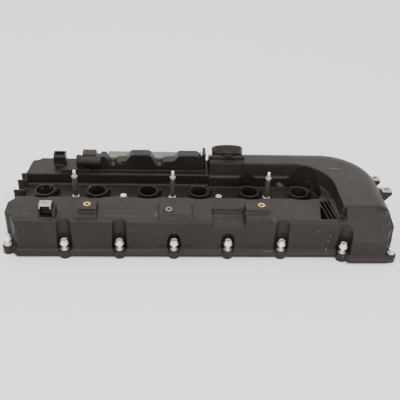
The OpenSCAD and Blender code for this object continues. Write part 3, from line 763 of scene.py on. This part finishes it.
class COVER_OT_socket(bpy.types.Operator):
    """Heater socket with rounded edges, and its two pins"""
    bl_idname = "cover.socket"
    bl_label = "Heater socket"

    def execute(self, context):
        grid = mould().small_grid
        moulded("heater_socket", "heater_socket_skin", "nylon_black", grid, FEW_PASSES, 30000)
        bevelled("socket_pins", "brass", 0.15)
        return {"FINISHED"}


def put_screw(shape, name, turn):
    """Sets a screw shape in the place of its CAD node, its hexagon turned by so many degrees."""
    x, y, _, high = axis_of(name)
    mesh = placed(shape, name, (x, y, high - HEAD_HEIGHT * MM), turn)
    new_object(f"{name}_turned", mesh, "bolt_zinc", BODY_OF[name], name)


def screw_for(name):
    """A screw shape as long as its CAD node."""
    _, _, low, high = axis_of(name)
    return flange_screw(f"{name}_shape", (high - low) / MM - HEAD_HEIGHT)


class COVER_OT_captive_bolts(bpy.types.Operator):
    """Fifteen captive bolts of the rim, with rolled threads and flange heads"""
    bl_idname = "cover.captive_bolts"
    bl_label = "Captive bolts"

    def execute(self, context):
        shape = screw_for(FRONT_BOLTS[0])
        for index, name in enumerate(FRONT_BOLTS + REAR_BOLTS):
            put_screw(shape, name, 17.0 * index)
        return {"FINISHED"}


class COVER_OT_trench_bolts(bpy.types.Operator):
    """Two bolts in the coil trench"""
    bl_idname = "cover.trench_bolts"
    bl_label = "Trench bolts"

    def execute(self, context):
        for index, name in enumerate(TRENCH_BOLTS):
            put_screw(screw_for(name), name, 11.0 + 23.0 * index)
        return {"FINISHED"}


class COVER_OT_studs(bpy.types.Operator):
    """Three long studs with their grey sleeves"""
    bl_idname = "cover.studs"
    bl_label = "Studs"

    def execute(self, context):
        for stud, spacer in zip(STUDS, SPACERS):
            x, y, low, high = axis_of(stud)
            _, _, sleeve_low, sleeve_high = axis_of(spacer)
            rod = stud_shape(f"{stud}_shape", low / MM, sleeve_low / MM - SHOULDER_HEIGHT, high / MM)
            rod = placed(rod, stud, (x, y, 0))
            new_object(f"{stud}_turned", rod, "stud_steel", BODY_OF[stud], stud)
            sleeve = spacer_shape(f"{spacer}_shape", sleeve_low / MM, sleeve_high / MM)
            sleeve = placed(sleeve, spacer, (x, y, 0))
            new_object(f"{spacer}_turned", sleeve, "spacer_steel", BODY_OF[spacer], spacer)
        return {"FINISHED"}


# Finish of each small piece, and how much of its edges is broken, in millimetres
SMALL_METAL = {
    "plateau_clip_nut": ("clip_steel", 0.35),
    "upper_clip_nut": ("clip_steel", 0.35),
    "lower_clip_nut": ("clip_steel", 0.35),
    "threaded_inserts": ("brass", 0.2),
    "sensor_sleeve": ("spacer_steel", 0.3),
    "bolt_sleeves": ("bolt_zinc", 0.25),
    "baffle_screws": ("bolt_zinc", 0.3),
}
SEALS = {
    "well_seals": ("rubber_black", 0.3),
    "bolt_grommets": ("rubber_black", 0.2),
    "rim_gasket": ("rubber_black", 0.3),
    "breather_connector": ("nylon_inner", 0.4),
}


class COVER_OT_small_metal(bpy.types.Operator):
    """Clip nuts, brass inserts, sleeves and screws with broken edges"""
    bl_idname = "cover.small_metal"
    bl_label = "Clip nuts, inserts and sleeves"

    def execute(self, context):
        for name, (slot, width) in SMALL_METAL.items():
            bevelled(name, slot, width)
        return {"FINISHED"}


class COVER_OT_seals(bpy.types.Operator):
    """Rim gasket, well seals, grommets and the breather's connector with broken edges"""
    bl_idname = "cover.seals"
    bl_label = "Seals and connector"

    def execute(self, context):
        for name, (slot, width) in SEALS.items():
            bevelled(name, slot, width)
        return {"FINISHED"}


# ---- Stage ----
# Metres, but for the camera's sensor, which is in millimetres
FLOOR_REACH = 6.0
MIDDLE = (0.0, 0.0, 0.05)
SKY_COLOUR = (1.0, 0.99, 0.98, 1.0)
SENSOR_WIDTH = 36.0


def look_at(obj, target):
    obj.rotation_euler = (Vector(target) - obj.location).to_track_quat("-Z", "Y").to_euler()


def softbox(name, place, target, size, power):
    """A rectangular soft light at place, size (width, height) in metres, that looks at target."""
    data = bpy.data.lights.new(name, "AREA")
    data.shape = "RECTANGLE"
    data.size, data.size_y = size
    data.energy = power
    made = bpy.data.objects.new(name, data)
    made.location = place
    look_at(made, target)
    bpy.context.scene.collection.objects.link(made)
    return made


class COVER_OT_stage(bpy.types.Operator):
    """Pale floor, soft lights, white surroundings and the camera"""
    bl_idname = "cover.stage"
    bl_label = "Stage"

    def execute(self, context):
        studio = context.scene.cover_studio
        made = bmesh.new()
        bmesh.ops.create_grid(made, x_segments=1, y_segments=1, size=FLOOR_REACH)
        floor = bpy.data.objects.new("floor", to_mesh(made, "floor"))
        context.scene.collection.objects.link(floor)
        material, tree, surface, place = start_material("floor_paper")
        grained = shared(tree, "moulded_grain", {"Vector": place, "Grain": 400.0, "Flow": 3.0})
        base = mix(tree, grained["Tone"], tinted(studio.floor, 0.985), studio.floor)
        tree.links.new(base, surface.inputs["Base Color"])
        surface.inputs["Roughness"].default_value = 0.9
        floor.data.materials.append(material)
        key = softbox("key", (-0.35, -0.25, 1.7), MIDDLE, (1.6, 1.0), studio.key_power)
        fill = softbox("fill", (0.5, -1.6, 0.8), MIDDLE, (1.4, 0.8), studio.fill_power)
        rim = softbox("rim", (0.3, 1.5, 1.0), MIDDLE, (1.6, 0.6), studio.rim_power)
        world = bpy.data.worlds.new("room")
        world.use_nodes = True
        sky = world.node_tree.nodes["Background"]
        sky.inputs["Color"].default_value = SKY_COLOUR
        sky.inputs["Strength"].default_value = studio.sky
        context.scene.world = world
        data = bpy.data.cameras.new("camera")
        data.lens = studio.lens
        data.sensor_width = SENSOR_WIDTH
        camera = bpy.data.objects.new("camera", data)
        camera.location = studio.camera_place
        camera.rotation_euler = studio.camera_turn
        context.scene.collection.objects.link(camera)
        context.scene.camera = camera
        return {"FINISHED"}


# ---- Add-on ----
PIECE_OPERATORS = (
    COVER_OT_materials, COVER_OT_shell, COVER_OT_separator, COVER_OT_valve, COVER_OT_filler, COVER_OT_socket,
    COVER_OT_captive_bolts, COVER_OT_trench_bolts, COVER_OT_studs, COVER_OT_small_metal, COVER_OT_seals,
    COVER_OT_stage,
)


class COVER_PT_panel(bpy.types.Panel):
    """Every piece of the cover, and the settings they read"""
    bl_idname = "COVER_PT_panel"
    bl_label = "Head Cover"
    bl_space_type = "VIEW_3D"
    bl_region_type = "UI"
    bl_category = "Head Cover"

    def draw(self, context):
        column = self.layout.column()
        for operator in PIECE_OPERATORS:
            column.operator(operator.bl_idname)
        for group in (context.scene.cover_finish, context.scene.cover_mould, context.scene.cover_studio):
            for name in group.__annotations__:
                column.prop(group, name)


SETTINGS = {"cover_finish": FinishSettings, "cover_mould": MouldSettings, "cover_studio": StudioSettings}
CLASSES = (*SETTINGS.values(), *PIECE_OPERATORS, COVER_PT_panel)


def register():
    for kind in CLASSES:
        bpy.utils.register_class(kind)
    for name, kind in SETTINGS.items():
        setattr(bpy.types.Scene, name, bpy.props.PointerProperty(type=kind))


def unregister():
    for name in SETTINGS:
        delattr(bpy.types.Scene, name)
    for kind in reversed(CLASSES):
        bpy.utils.unregister_class(kind)


def main():
    register()
    for operator in PIECE_OPERATORS:
        group, name = operator.bl_idname.split(".")
        getattr(getattr(bpy.ops, group), name)()


if __name__ == "__main__":
    main()
